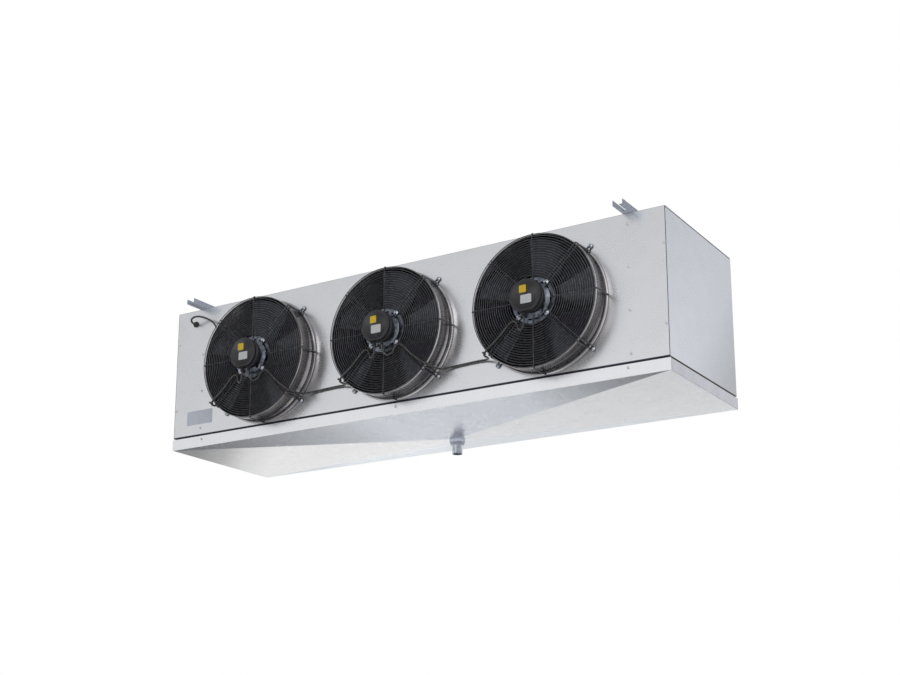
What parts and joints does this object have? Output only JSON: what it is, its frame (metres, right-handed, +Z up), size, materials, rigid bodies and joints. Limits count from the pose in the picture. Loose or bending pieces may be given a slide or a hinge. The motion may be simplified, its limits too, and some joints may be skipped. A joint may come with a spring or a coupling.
{
  "type": "walk-in unit cooler",
  "caption": "Ceiling-hung cold-room unit cooler: long metal casing, round guarded fans in the front panel, sloped drip tray with a drain, hanging rails on top.",
  "frame": {"origin": "middle of the casing's top face, where the four hanging slots are centred", "axes": "+X along the casing to the right when facing the fans, the fans blow towards -Y, +Z up"},
  "size_m": [2.255, 0.8475, 0.723],
  "materials": {
    "panel": "brushed sheet",
    "bright_metal": "spun and polished",
    "bare_metal": "die-cast",
    "zinc": "zinc plated",
    "black_wire": "black powder coat",
    "black_metal": "black paint",
    "black_plastic": "moulded, fine grain",
    "cable_black": "cable sheath",
    "seal_rubber": "soft",
    "fin_metal": "thin rolled",
    "copper": "drawn tube",
    "winding": "varnished"
  },
  "bodies": {
    "casing": {"baffles": "panel", "cable_glands": "black_plastic", "coil_fins": "fin_metal", "end_plate_left": "panel", "end_plate_right": "panel", "end_screws": "zinc", "fan_collar_1": "bright_metal", "fan_collar_2": "bright_metal", "fan_collar_3": "bright_metal", "fan_guard_1": "black_wire", "fan_guard_2": "black_wire", "fan_guard_3": "black_wire", "front_panel": "panel", "guard_bolts": "zinc", "guard_nuts": "zinc", "hanging_rail_left": "zinc", "hanging_rail_right": "zinc", "link_cable_1": "cable_black", "link_cable_2": "cable_black", "liquid_distributor": "copper", "motor_bearings": "zinc", "motor_flange_1": "bare_metal", "motor_flange_2": "bare_metal", "motor_flange_3": "bare_metal", "motor_screws": "zinc", "panel_bolts": "zinc", "rail_bolts": "zinc", "rear_rail": "panel", "return_bends_left": "copper", "return_bends_right": "copper", "side_cover_left": "panel", "side_cover_right": "panel", "stator_cores": "winding", "suction_header": "copper", "supply_cable": "cable_black", "supply_gland": "black_plastic", "terminal_box_1": "black_plastic", "terminal_box_2": "black_plastic", "terminal_box_3": "black_plastic", "terminal_lid_1": "black_plastic", "terminal_lid_2": "black_plastic", "terminal_lid_3": "black_plastic", "top_panel": "panel"},
    "tray": {"tray_pan": "panel", "tray_end_left": "panel", "tray_end_right": "panel", "hinge_pins": "zinc", "drain_tail": "bare_metal", "drain_seal": "seal_rubber", "drain_nut": "bare_metal", "tray_screws": "zinc"},
    "fan_1": {"fan_rotor_1": "black_metal", "fan_shaft_1": "zinc", "impeller_1": "black_metal"},
    "fan_2": {"fan_rotor_2": "black_metal", "fan_shaft_2": "zinc", "impeller_2": "black_metal"},
    "fan_3": {"fan_rotor_3": "black_metal", "fan_shaft_3": "zinc", "impeller_3": "black_metal"}
  },
  "joints": [
    {"name": "fan_1_spin", "type": "hinge", "parent": "casing", "child": "fan_1", "pos_m": [-0.6435, -0.3075, -0.287], "axis": [0, -1, 0], "continuous": true},
    {"name": "fan_2_spin", "type": "hinge", "parent": "casing", "child": "fan_2", "pos_m": [0, -0.3075, -0.287], "axis": [0, -1, 0], "continuous": true},
    {"name": "fan_3_spin", "type": "hinge", "parent": "casing", "child": "fan_3", "pos_m": [0.6435, -0.3075, -0.287], "axis": [0, -1, 0], "continuous": true},
    {"name": "tray_hinge", "type": "hinge", "parent": "casing", "child": "tray", "pos_m": [0, 0.3, -0.565], "axis": [1, 0, 0], "range_deg": [0, 70]}
  ]
}
